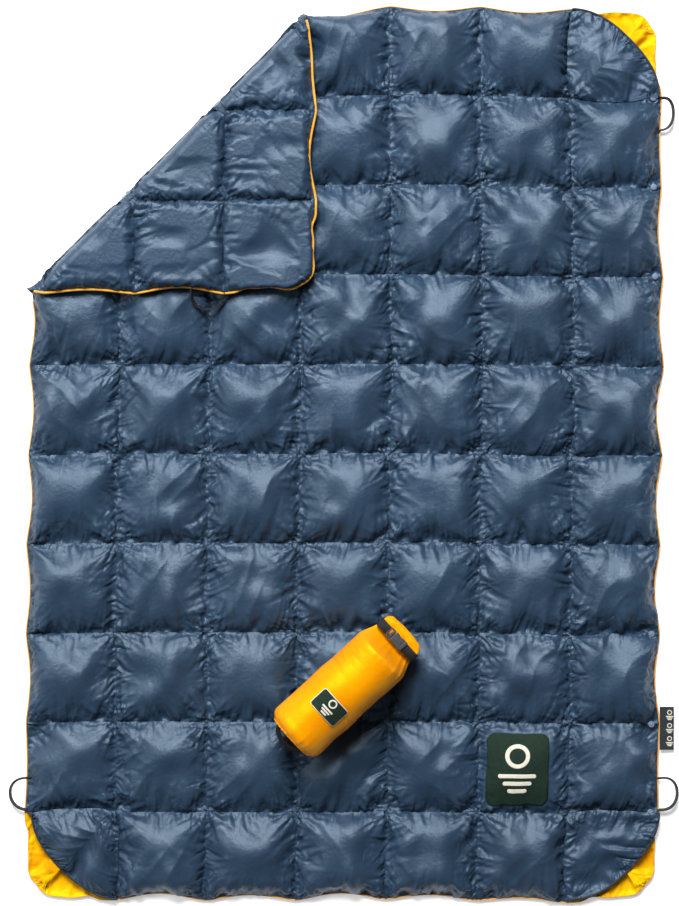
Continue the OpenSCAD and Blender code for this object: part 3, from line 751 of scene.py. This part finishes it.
# ---- the soft fold
def fold_strips():
    """The back cloth's roll round the outside of the fold, and the front cloth's crease inside it."""
    count = 620
    x = np.linspace(-HALF_W, -HALF_W + FOLD_REACH, count)
    y = x + FOLD_C
    step = BACK_CUT / SQRT2
    main = on_cloth(BACK, x + step, y - step)
    flap = folded(on_cloth(BACK, x - step, y + step))
    cell_x, cell_y = (x + HALF_W) / CELL_X, (y + HALF_L) / CELL_Y
    seams = np.minimum(np.abs(cell_x - np.round(cell_x)) * CELL_X, np.abs(cell_y - np.round(cell_y)) * CELL_Y)
    full = 0.35 + 0.65 * smoothstep(0, 40, seams)
    out = np.array([-1, 1, 0])[:, None] / SQRT2
    rng = np.random.default_rng(23)
    wrinkle = noise((2, count), (1, 4), rng)[0] * (1.4 - full) * 1.6
    turn = np.linspace(0, math.pi, 33)[:, None, None]
    t, bulge = (1 - np.cos(turn)) / 2, np.sin(turn)
    from_end = np.minimum(np.arange(count), np.arange(count)[::-1]) * FOLD_REACH * SQRT2 / count
    bow = (BACK_CUT + 4 * full - 4 + wrinkle) * (0.5 + 0.5 * smoothstep(0, 70, from_end))
    roll = (1 - t) * main + t * flap + out * (bulge * bow)
    ends = 1 - smoothstep(0, 45, from_end)
    main_in = on_cloth(FRONT, x, y)
    flap_in = folded(main_in)
    crease = (1 - t) * main_in + t * flap_in + out * (bulge * (ends * 5))
    for name, grid, turned in (("fold_roll", roll, False), ("fold_crease", crease, True)):
        obj = piece(name, sheet_grid(np.moveaxis(grid, 1, 0), turned), "navy_back", None)
        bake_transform(obj)


# ---- stitches
STITCH = (1.5, 0.5, 0.4)          # half a stitch's length, width and height
STITCH_PITCH = 4.2


def dashes(centres, tangents, ups):
    """Short stitches, each a slim double point."""
    side = np.cross(tangents, ups)
    a, b, c = tangents * STITCH[0], side * STITCH[1], ups * STITCH[2]
    points = np.stack([centres + a, centres - a, centres + b, centres - b, centres + c, centres - c], 1)
    tips = [(0, 2, 4), (2, 1, 4), (1, 3, 4), (3, 0, 4), (2, 0, 5), (1, 2, 5), (3, 1, 5), (0, 3, 5)]
    faces = (np.arange(len(centres))[:, None, None] * 6 + np.array(tips)[None]).reshape(-1, 3)
    return points.reshape(-1, 3), faces


def stitch_line(layer, xs, ys, lift, side):
    """Stitches along plan points, on one side of the fold line."""
    keep = side * u_of(xs, ys) < -BACK_CUT - 3
    keep &= (np.abs(xs) < HALF_W - 6) & (np.abs(ys) < HALF_L - 6)
    if keep.sum() < 3:
        return None
    p = on_cloth(layer, xs[keep], ys[keep])
    p[2] += lift
    p = laid(p, side).T
    return dashes(p, along(p), np.broadcast_to(UP, p.shape))


def make_stitches():
    xs, ys = np.arange(-HALF_W, HALF_W, STITCH_PITCH), np.arange(-HALF_L, HALF_L, STITCH_PITCH)
    seams = [(np.full(len(ys), -HALF_W + i * CELL_X), ys) for i in range(1, COLUMNS)]
    seams += [(xs, np.full(len(xs), -HALF_L + j * CELL_Y)) for j in range(1, ROWS)]
    for name, layer, side, lift, body, node in (
            ("seam_stitching_front", FRONT, 1, 0.5, "quilt", "seam_stitching"),
            ("seam_stitching_back", BACK, 1, -0.5, "quilt", "seam_stitching"),
            ("flap_stitching_back", BACK, -1, -0.5, "corner_flap", "flap_stitching"),
            ("flap_stitching_front", FRONT, -1, 0.5, "corner_flap", "flap_stitching")):
        parts = [stitch_line(layer, *seam, lift, side) for seam in seams]
        piece(name, joined(*[p for p in parts if p is not None]), "navy_thread", body, node)


# ---- piping
PIPING_R = {1: 1.4, -1: 2.6}      # half hidden in the quilt's seam, and open round the folded corner


def border_points():
    """Plan points round the whole edge, from the fold's lower end down the left and on to its upper end."""
    step = CELL_X / cloth.n
    left = np.arange(HALF_L, -HALF_L, -step)
    bottom = np.arange(-HALF_W, HALF_W, step)
    w, l = np.full(len(left), HALF_W), np.full(len(bottom), HALF_L)
    return np.concatenate([-w, bottom, w, bottom[::-1]]), np.concatenate([left, -l, left[::-1], l])


def edge_path(side):
    """The piping's line on one side of the fold, outside the joined edges of the two cloths."""
    x, y = border_points()
    start = int(np.argmax(u_of(x, y) < -PIPING_CUT))
    x, y = np.roll(x, -start), np.roll(y, -start)
    keep = side * u_of(x, y) < -PIPING_CUT
    p = on_cloth(FRONT, x[keep], y[keep])
    for _ in range(3):
        p[:, 1:-1] = 0.5 * p[:, 1:-1] + 0.25 * (p[:, 2:] + p[:, :-2])
    out = np.cross(along(p.T), UP)
    out /= np.linalg.norm(out, axis=1, keepdims=True)
    return laid(p + out.T * (PIPING_R[side] - 0.6), side)


def make_piping():
    for name, side, body, node in (("edge_piping_cord", 1, "quilt", "edge_piping"),
                                   ("flap_piping_cord", -1, "corner_flap", "flap_piping")):
        piece(name, swept(edge_path(side).T, circle(PIPING_R[side], 10)), "orange_piping", body, node)


# ---- corner pockets
POCKET_R = 186
MOUTH_SAG = 13       # how far the mouth's middle is drawn in from a quarter circle
MOUTH_RISE = 6.2     # how far the mouth's edge stands over the seams
PANEL_LIFT = 2.6     # how far the panel's underside is over the quilt
LINING_LIFT = 1.4    # how far the lining is over the quilt
CORNERS = {"top_right": (1, 1), "bottom_right": (1, -1), "bottom_left": (-1, -1), "top_left": (-1, 1)}


def crossing(sx, sy):
    """Where the two seams cross that bound a corner's chamber."""
    return sx * INNER_X, sy * INNER_Y


def quarter(n):
    """A quarter disc on a square grid, from 0 to 1."""
    a = np.linspace(0, 1, n + 1)
    A, B = np.meshgrid(a, a)
    k = np.maximum(A, B) / np.maximum(np.hypot(A, B), 1e-9)
    return A, B, A * k, B * k


def pocket_panel(sx, sy, on_flap, seed):
    """The padded panel over a corner's lining, solved as one quarter-round chamber."""
    cx, cy = crossing(sx, sy)

    def build(n):
        A, B, a, b = quarter(n)
        reach = POCKET_R - MOUTH_SAG * (2 * a * b) ** 2 / np.maximum(a * a + b * b, 1e-9)
        x, y = cx + sx * reach * a, cy + sy * reach * b
        edge = (A == 0) | (B == 0) | (A == 1) | (B == 1)
        arc = (A == 1) | (B == 1)
        z = np.where(arc, SEAM_Z + MOUTH_RISE + 0.8 * np.sin(9 * A + seed) * np.cos(7 * B), SEAM_Z + 0.6)
        rng = np.random.default_rng(seed)
        bump = np.sin(np.pi * A) * np.sin(np.pi * B)
        excess = 0.08 * (1 + 0.3 * noise(A.shape, 0.5 * n, rng))
        made = Cloth(x, y, excess, 50 * (0.35 + 0.65 * bump ** 0.5), z)
        made.sew(edge, edge)
        on_seam = (A == 0) | (B == 0)
        seam = on_cloth(FRONT, x, y)
        made.x[on_seam], made.y[on_seam] = seam[0][on_seam], seam[1][on_seam]
        around = (-7, -3, 0, 3, 7)
        near_x = [sx * np.maximum(sx * x + d, sx * cx) for d in around]
        near_y = [sy * np.maximum(sy * y + d, sy * cy) for d in around]
        highest = np.max([on_cloth(FRONT, at_x, at_y)[2] for at_x in near_x for at_y in near_y], axis=0)
        made.floor = (highest + PANEL_LIFT).astype(np.float32)
        if on_flap:
            made.roof[:] = SHELL_TOP - 0.3
        made.chart(POCKET_R * A, POCKET_R * B, (POCKET_R, POCKET_R), 1, 1, bump, n, 1.0)
        return made

    panel = build(32)
    Q = lifted(panel, top=18, low=1, rng=np.random.default_rng(seed + 1))
    Q = panel.relax(Q, 200, bend=0.012, press=0.0009, damp=0.98)
    panel = build(64)
    Q = puckered(finer(Q), panel, 4.0 * sx * sy, np.random.default_rng(seed + 2))
    Q = panel.relax(Q, 10, bend=0.002, press=0.0002, damp=0.9)
    return creased(Q, panel, 4.0, np.random.default_rng(seed + 3))


def make_pockets():
    for k, (name, (sx, sy)) in enumerate(CORNERS.items()):
        on_flap = name == "top_left"
        side, body = (-1, "corner_flap") if on_flap else (1, "quilt")
        cx, cy = crossing(sx, sy)
        xs, ys = GRID_X[GRID_X * sx >= cx * sx + 2], GRID_Y[GRID_Y * sy >= cy * sy + 2]
        lining = on_cloth(FRONT, *np.meshgrid(xs, ys))
        lining[2] += LINING_LIFT
        obj = piece(f"lining_cloth_{name}", sheet_grid(laid(lining, side), on_flap), "orange_lining", body,
                    f"pocket_lining_{name}")
        Q = pocket_panel(sx, sy, on_flap, 40 + 7 * k)
        turned = (sx * sy < 0) != on_flap
        parts = [sheet_grid(laid(Q[:, layer], side), turned != (layer == BACK)) for layer in (FRONT, BACK)]
        obj = piece(f"pocket_quilting_{name}", joined(*parts), "navy_shell", body, f"pocket_panel_{name}")
        rim = np.concatenate([Q[:, FRONT, :, -1], Q[:, FRONT, -1, ::-1][:, 1:]], 1)
        piece(f"binding_tape_{name}", swept(laid(rim, side).T, circle(2.4, squash=0.7)), "dark_binding", body,
              f"pocket_binding_{name}")


# ---- webbing loops and the side tag
def tilted(path, degrees):
    """Up vectors that lean outward from a path lying flat."""
    t = along(path)
    side = np.cross(t, UP)
    a = math.radians(degrees)
    return np.array([0, 0, math.cos(a)]) + side * math.sin(a)


def bowed(angle):
    """How far out a loop of webbing has gone, up to 1: a little squarer than a half circle."""
    return np.sign(np.sin(angle)) * np.abs(np.sin(angle)) ** 0.8


LOOP_WEB = webbing(5, 4.6)
LOOP_REACH = {"top_right": 25, "bottom_right": 33, "bottom_left": 41, "top_left": 34}


def make_loops():
    a = np.linspace(-0.2, math.pi + 0.2, 46)
    across, out = np.cos(a) * 34, bowed(a)
    for name, reach in LOOP_REACH.items():
        node = f"loop_{name}"
        lo, hi = box(node)
        mid = (lo + hi) / 2
        if name == "top_left":
            lines = mid[0] + across, hi[1] - reach * out, 54 - 12 * smoothstep(0, 0.8, out)
        else:
            s, root = (1, lo[0]) if lo[0] > 0 else (-1, hi[0])
            lines = (root + s * (reach * out - 2), mid[1] + s * across + 3 * out,
                     12 + 2 * out + 1.5 * np.sin(3 * a))
        path = np.stack(lines, 1)
        piece(f"webbing_{node}", swept(path, LOOP_WEB, up=tilted(path, 62)), "black_webbing", node, node)


def rounded_grid(half_x, half_y, radius, steps):
    """A grid over a rectangle with round corners, centred on the origin."""
    nx, ny = max(6, int(2 * half_x / steps)), max(6, int(2 * half_y / steps))
    X, Y = np.meshgrid(np.linspace(-half_x, half_x, nx), np.linspace(-half_y, half_y, ny))
    return rounded(X, Y, half_x, half_y, radius)


def emblem_parts(surface, at, r, bar, turn=0.0, thick=0.6):
    """A plain ring over three bars, on a surface(x, y) that gives points and normals.

    r is half the emblem's size, and bar is how wide a bar is.
    """
    c, s = math.cos(turn), math.sin(turn)

    def lay(X, Y):
        p, n = surface(at[0] + c * X - s * Y, at[1] + s * X + c * Y)
        return shell(p + n * (thick + 0.05), p - n * 0.3)

    angle, radius = np.meshgrid(np.linspace(0, 2 * math.pi, 73), np.linspace(0.36 * r, 0.55 * r, 7))
    parts = [lay(radius * np.cos(angle), r * 0.62 + radius * np.sin(angle))]
    for k in range(3):
        X, Y = rounded_grid(r * (1.7 - 0.4 * k) / 2, bar / 2, bar * 0.45, max(0.8, bar / 9))
        parts.append(lay(X, Y - r * (0.28 + 0.34 * k)))
    return joined(*parts)


def raised(surface, by):
    """The same surface, lifted along its normals."""
    def higher(x, y):
        p, n = surface(x, y)
        return p + n * by, n
    return higher


def make_tag():
    lo, hi = box("side_tag")
    mid, half = (lo + hi) / 2, (hi - lo) / 2

    def surface(x, y):
        z = mid[2] - 3.0 + 1.6 * np.sin(y / 19) * (x / half[0] + 1) / 2
        p = np.stack([mid[0] + x, mid[1] + y, z])
        return p, facing_up(p)

    X, Y = np.meshgrid(np.linspace(-half[0] - 6, half[0], 18), np.linspace(-half[1], half[1], 56))
    piece("side_tag_woven", slab(*surface(X, Y), 0.6, -0.6), "tag_weave", "side_tag", "side_tag")
    marks = [emblem_parts(raised(surface, 0.55), (3.0, y), r=9.5, bar=2.2, thick=0.3) for y in (-28, 0, 28)]
    piece("side_tag_emblem", joined(*marks), "emblem_cream", "side_tag")


# ---- snaps
# profiles of (radius, height over the cloth)
CAP = [(0.2, 2.5), (3.5, 2.45), (5.6, 2.1), (6.7, 1.3), (7, 0.5), (7, 0), (5.5, 0), (2.3, 0),
       (2.2, -2.0), (0.2, -2.0)]
SOCKET = [(0.2, 1.0), (2.9, 1.0), (3.1, 2.6), (4.6, 2.9), (5.2, 1.6), (6.4, 1.2), (6.5, 0.2), (6, 0),
          (0.2, 0)]
STUD = [(0.2, 2.9), (1.6, 3.0), (2.6, 2.7), (3.0, 2.0), (2.7, 1.3), (4.0, 1.2), (4.6, 1.9), (5.4, 1.9),
        (6.0, 1.0), (6.5, 0.8), (6.5, 0), (0.2, 0)]


def make_snaps():
    for node, rows, profile, up in (("snap_caps", CAP_ROWS, CAP, 1), ("snap_sockets", CAP_ROWS, SOCKET, -1),
                                    ("snap_studs", STUD_ROWS, STUD, 1), ("snap_posts", STUD_ROWS, CAP, -1)):
        parts = []
        for row in rows:
            at = on_cloth(FRONT if up > 0 else BACK, SNAP_X, HALF_L - row * CELL_Y)
            points, faces = lathe(profile)
            parts.append((points * [1, up, up] + [at[0], at[1], at[2] + 0.5 * up], flipped(faces)))
        piece(f"{node}_pressed", joined(*parts), "snap_shell", "quilt", node)


# ---- the sewn patch
def press_patch():
    """Levels the front cloth under the patch, which is stiffer than the cloth."""
    lo, hi = box("patch")
    inside = 1
    for k, at in enumerate((cloth.X, cloth.Y)):
        inside = inside * smoothstep(lo[k] - 12, lo[k] + 2, at) * (1 - smoothstep(hi[k] - 2, hi[k] + 12, at))
    z = P[2, FRONT]
    soft = z.copy()
    for _ in range(90):
        soft[1:-1, 1:-1] = 0.25 * (soft[:-2, 1:-1] + soft[2:, 1:-1] + soft[1:-1, :-2] + soft[1:-1, 2:])
    P[2, FRONT] = z + (soft - z) * inside


def facing_up(p):
    """Unit normals of a grid of points, all looking up."""
    n = normals(p)
    return n * np.sign(n[2])


def patch_surface(x, y):
    p = on_cloth(FRONT, x, y)
    return p, facing_up(p)


def make_patch():
    lo, hi = box("patch")
    mid, half = (lo + hi) / 2, (hi - lo) / 2
    X, Y = rounded_grid(half[0], half[1], 16, 2.6)
    p, n = patch_surface(mid[0] + X, mid[1] + Y)
    p = p + n * (0.35 * noise(X.shape, 6, np.random.default_rng(61)))
    piece("patch_cloth", slab(p, n, 1.5, 0.1), "patch_green", "quilt", "patch")
    rim, up = (np.concatenate([q[:, 0, :-1], q[:, :-1, -1], q[:, -1, :0:-1], q[:, :0:-1, 0]], 1)
               for q in (p, n))
    count = rim.shape[1]
    fine = np.linspace(0, count, count * 3, endpoint=False)
    ring = np.arange(count + 1)
    rim, up = (np.stack([np.interp(fine, ring, np.append(a, a[0])) for a in q]).T for q in (rim, up))
    inward = -np.cross(along(rim), UP)
    zig = np.where(np.arange(len(rim)) % 2 == 0, -0.8, 3.6)[:, None]
    path = rim + inward * zig + up * np.where(zig < 0, 0.7, 1.8)
    piece("patch_zigzag", swept(path, circle(0.55, 5), closed=True), "patch_green", "quilt")
    emblem = emblem_parts(raised(patch_surface, 1.5), (mid[0], mid[1]), r=44, bar=8)
    piece("patch_emblem_sewn", emblem, "emblem_cream", "quilt", "patch_emblem")


# ---- the stuff sack
def in_sack(x, y, z):
    """Points given in the sack's own frame, in the model's axes."""
    x, y, z = np.broadcast_arrays(np.asarray(x, float), np.asarray(y, float), np.asarray(z, float))
    return np.stack([SACK_FROM[k] + x * SACK_X[k] + y * SACK_Y[k] + (z if k == 2 else 0) for k in range(3)])


def sack_section(s):
    """Half width, half height and middle height of the sack's section at a place along its axis."""
    base = SACK_R * (1 - np.clip((SACK_BASE + 20 - s) / 20, 0, 1) ** 2.4 * 0.2)
    narrow, close = smoothstep(98, SACK_NECK + 6, s), smoothstep(94, SACK_NECK + 6, s)
    width = (base - 2) * (1 - narrow) + 50 * narrow
    height = np.minimum(base * (1 - close) + 5, base)
    mid = SACK_R * (1 - close) + 52 * close
    return width, height, np.minimum(mid, SACK_R)


def wrapped(values, count):
    """Noise round the sack, brought over its last few columns to where it starts."""
    out, back = np.linspace(1, 0, count), np.linspace(0, 1, count)
    values[..., -count:] = values[..., -count:] * out + values[..., :1] * back
    return values


def sack_surface(s, angle):
    """The sack's cloth at places along the axis and angles round it, 0 at the top."""
    w, h, mid = sack_section(s)
    rng = np.random.default_rng(71)
    ny, nx = s.shape
    gathered = wrapped(noise((1, nx), (1, (nx - 1) / 52), rng)[0], 8)
    shifted = np.roll(gathered[:-1], 17)
    shifted = np.append(shifted, shifted[0])
    bump = 1.7 * gathered * np.exp(-np.clip(s - SACK_BASE - 6, 0, None) / 15)
    bump += 1.9 * shifted * smoothstep(70, 138, s)
    dented = wrapped(noise(s.shape, (ny / 9, nx / 7), rng), 20)
    bump += 1.6 * dented * smoothstep(SACK_BASE, SACK_BASE + 40, s)
    fine = noise(s.shape, (ny / 64, nx / 14), rng)
    creased_at = 0
    for at, length, turn, spread in ((48, 55, 1.0, 0.5), (-20, 60, -1.25, 0.35)):
        apart = np.mod(angle - turn + np.pi, 2 * np.pi) - np.pi
        creased_at = creased_at + np.exp(-((s - at) / length) ** 2) * np.exp(-(apart / spread) ** 2)
    bump += 1.5 * fine * creased_at
    y, z = (w + bump) * np.sin(angle), mid + (h + bump) * np.cos(angle)
    return in_sack(s, y, np.maximum(z, 0.4))


def make_sack():
    """The sack's body, its round base and the welt between them."""
    turn = np.linspace(-math.pi, math.pi, 241)
    s = np.concatenate([np.linspace(SACK_BASE, SACK_BASE + 30, 50),
                        np.linspace(SACK_BASE + 31.5, SACK_NECK + 2, 160)])
    skin = sack_surface(*np.meshgrid(s, turn, indexing="ij"))
    obj = piece("sack_body", sheet_grid(skin, True), "sack_gold", "stuff_sack", "sack_shell", "sack_contents")
    R, B = np.meshgrid(np.linspace(0.02, 1, 26), turn, indexing="ij")
    ring = noise((1, len(turn)), (1, 4.2), np.random.default_rng(73))[0]
    ring[-6:] = np.linspace(ring[-7], ring[0], 6)
    w = sack_section(SACK_BASE)[0] - 1.5
    out = SACK_BASE - 1.5 - 5 * (1 - R ** 2) + 1.4 * ring[None] * R ** 4
    end = in_sack(out, R * w * np.sin(B), SACK_R + R * w * np.cos(B))
    piece("sack_base_panel", sheet_grid(end), "sack_gold", "stuff_sack", "sack_base")
    B = np.linspace(-math.pi, math.pi, 200, endpoint=False)
    wobble = 0.8 * np.sin(B * 37) + 0.5 * np.sin(B * 23 + 1)
    r = w + 0.6 + 0.3 * wobble
    path = in_sack(SACK_BASE - 0.5 + 0.7 * np.sin(B * 31), r * np.sin(B), SACK_R + r * np.cos(B)).T
    welt = swept(path, circle(2.3), up=SACK_X, closed=True)
    piece("sack_base_welt", welt, "sack_gold", "stuff_sack", "sack_base_seam")


def make_collar():
    """The flattened neck, rolled up: a spiral of cloth across the sack."""
    low, high, half_width, turns = 38, 62, 50, 2.35
    a = np.linspace(0, turns * 2 * math.pi, 110)
    r = (high - low) / 2 - 0.8 - 2.5 * a / (2 * math.pi)
    middle_x, middle_z = SACK_NECK + 21, (low + high) / 2
    x, z = middle_x - (r + 8) * np.cos(a), middle_z + r * np.sin(a) * 0.94
    y = np.linspace(-half_width, half_width, 90)[:, None]
    outward = np.abs(y) / half_width
    wobble = noise((len(y), len(a)), (9, 12), np.random.default_rng(77))
    x = middle_x + (x - middle_x) * (1 - 0.55 * outward ** 7) + 0.9 * wobble - 1.5 * outward ** 2
    roll = in_sack(x, y, z + 0.8 * np.roll(wobble, 9, 1))
    piece("sack_roll", slab(roll, normals(roll), 0.55, -0.55), "sack_gold", "stuff_sack", "sack_collar",
          "collar_stiffener")


LABEL_AT = (-47, -3.5)       # its middle: along the sack's axis, and across it


def make_label():
    def surface(x, y):
        angle = np.arcsin(np.clip(y / SACK_R, -0.99, 0.99))
        w, h, mid = sack_section(x)
        p = in_sack(x, w * np.sin(angle), mid + h * np.cos(angle))
        n = in_sack(x, np.sin(angle), np.cos(angle)) - in_sack(x, 0, 0)
        return p + 1.9 * n, n

    for name, size, high, low, slot, stands_for in (
            ("sack_label_border", (23, 35.5, 6), 0.5, -0.9, "emblem_cream", []),
            ("sack_label_cloth", (21.6, 34.1, 5), 0.9, 0.2, "patch_green", ["sack_label"])):
        X, Y = rounded_grid(*size, 1.6)
        p, n = surface(LABEL_AT[0] + X, LABEL_AT[1] + Y)
        piece(name, slab(p, n, high, low), slot, "stuff_sack", *stands_for)
    mark = emblem_parts(raised(surface, 0.9), LABEL_AT, r=17, bar=3.8, turn=-math.pi / 2, thick=0.4)
    piece("sack_label_mark", mark, "emblem_cream", "stuff_sack", "sack_label_emblem")


BUCKLE_AT = (150.0, 14.0, 80.0)       # the middle of the socket's mouth, in the sack's frame


def block(x0, x1, y0, y1, z0, z1, soft=1.2, waist=0.0):
    """A softly rounded block, measured from the buckle's mouth, with an optional waist halfway along Y."""
    sides = 24
    a = np.arange(sides) * 2 * math.pi / sides + math.pi / sides
    cx, cz = (np.sign(c) * np.abs(c) ** 0.32 for c in (np.cos(a), np.sin(a)))
    t = np.linspace(0, 1, 15)[:, None]
    ends = np.clip(1 - np.maximum(np.abs(t - 0.5) * 2 - 1 + 2 * soft / (y1 - y0), 0) * 0.6, 0.5, 1)
    pinch = 1 - waist * np.exp(-((t - 0.5) / 0.18) ** 2)
    x = (x0 + x1) / 2 + cx * (x1 - x0) / 2 * ends * pinch
    z = (z0 + z1) / 2 + cz * (z1 - z0) / 2 * ends
    points = in_sack(BUCKLE_AT[0] + x, BUCKLE_AT[1] + y0 + t * (y1 - y0), BUCKLE_AT[2] + z).reshape(3, -1).T
    return points, [f[:1] + f[:0:-1] for f in ring_faces(len(t), sides)]


def make_buckle():
    socket = joined(block(-12, 12, -34, -26, -4.5, 4.5),
                    block(-12, 12, -27, -0.4, -4.3, 4.3, waist=0.14),
                    block(-3, 3, -24, -6, 3.9, 5.0, soft=2))
    piece("buckle_socket_body", socket, "buckle_grey", "stuff_sack", "buckle_socket")
    plug = joined(block(-12, 12, 0.4, 6, -4.4, 4.4),
                  block(-11.4, -7.6, 5, 12, -3.4, 3.4),
                  block(7.6, 11.4, 5, 12, -3.4, 3.4),
                  block(-12, 12, 10.5, 14, -3.6, 3.6),
                  block(-2.2, 2.2, -16, 1, -1.6, 1.6))
    piece("buckle_plug_body", plug, "buckle_grey", "buckle_plug", "buckle_plug")
    for node, x in (("buckle_prong_upper", 6.2), ("buckle_prong_lower", -6.2)):
        piece(f"{node}_bar", block(x - 1.4, x + 1.4, -23.5, -0.2, -1.8, 1.8), "buckle_grey", node, node)


STRAP_WEB = webbing(10, 9.7)
STRAP_CORNER = 53.0       # how far across the sack the straps turn down
STRAP_BEND = 0.55         # the part of a strap that is over the collar


def make_straps():
    """From the buckle over the rolled collar, and down to its ends."""
    x, mouth, top = BUCKLE_AT
    t = np.linspace(0, 1, 40)
    over, down = np.clip(t / STRAP_BEND, 0, 1), (t - STRAP_BEND) / (1 - STRAP_BEND)
    for name, s, start, body in (("strap_socket_side", -1, 31 - mouth, "stuff_sack"),
                                 ("strap_plug_side", 1, 12 + mouth, "buckle_plug")):
        y = start + (STRAP_CORNER - start) * (1 - (1 - over) ** 1.6)
        z = np.where(over < 1, top - 10 * over ** 3.0, top - 10 - down * 27)
        for _ in range(6):
            y[1:-1] = (y[:-2] + 2 * y[1:-1] + y[2:]) / 4
            z[1:-1] = (z[:-2] + 2 * z[1:-1] + z[2:]) / 4
        path = in_sack(x, s * y, z).T
        strap = swept(path, STRAP_WEB, up=np.cross(SACK_X, along(path)))
        piece(f"{name}_webbing", strap, "black_webbing", body, name)


def make_handle():
    a = np.linspace(-0.1, math.pi + 0.1, 40)
    path = in_sack(SACK_BASE - 3.2 - 20 * bowed(a), np.cos(a) * 33, 46).T
    piece("sack_handle_webbing", swept(path, LOOP_WEB), "black_webbing", "sack_handle", "sack_handle")


# ---- stage
def stage():
    """A white floor, soft light all round, and two large lamps."""
    mesh = bpy.data.meshes.new("floor")
    mesh.from_pydata([(6 * x, 6 * y, 0) for x, y in ((-1, -1), (1, -1), (1, 1), (-1, 1))], [], [(0, 1, 2, 3)])
    floor = bpy.data.objects.new("floor", mesh)
    bpy.context.scene.collection.objects.link(floor)
    white = material("floor_white", (0.93, 0.93, 0.93), 0.9, 0.01, 2)
    glow = white.node_tree.nodes["Principled BSDF"].inputs
    glow["Emission Color"].default_value = (1, 1, 1, 1)
    glow["Emission Strength"].default_value = 0.35
    mesh.materials.append(white)
    world = bpy.data.worlds.new("studio")
    bpy.context.scene.world = world
    world.use_nodes = True
    world.node_tree.nodes["Background"].inputs["Color"].default_value = (0.93, 0.96, 1.0, 1)
    world.node_tree.nodes["Background"].inputs["Strength"].default_value = 0.14

    def lamp(name, at, size, power):
        light = bpy.data.lights.new(name, "AREA")
        light.size, light.energy = size, power
        obj = bpy.data.objects.new(name, light)
        obj.location = at
        obj.rotation_mode = "QUATERNION"
        obj.rotation_quaternion = (Vector((0, 0, 0)) - Vector(at)).to_track_quat("-Z", "Y")
        bpy.context.scene.collection.objects.link(obj)

    lamp("key", (-1.0, 5.2, 6.4), 3.8, 1250)
    lamp("side", (-6.0, 1.0, 5.0), 2.4, 150)
    bpy.context.scene.view_settings.view_transform = "Standard"


def camera():
    """Straight down, with the object's middle a little right of and below the picture's middle."""
    data = bpy.data.cameras.new("camera")
    cam = bpy.data.objects.new("camera", data)
    bpy.context.scene.collection.objects.link(cam)
    height, seen = 6.0, 1.936
    data.sensor_fit = "VERTICAL"
    data.sensor_height = 24
    data.lens = 24 * height / seen
    data.clip_end = 50
    cam.location = (-0.0128, 0.0021, height)
    bpy.context.scene.camera = cam


press_patch()
make_rows()
fold_strips()
make_stitches()
make_piping()
make_pockets()
make_loops()
make_tag()
make_snaps()
make_patch()
make_sack()
make_collar()
make_label()
make_buckle()
make_straps()
make_handle()
stage()
camera()
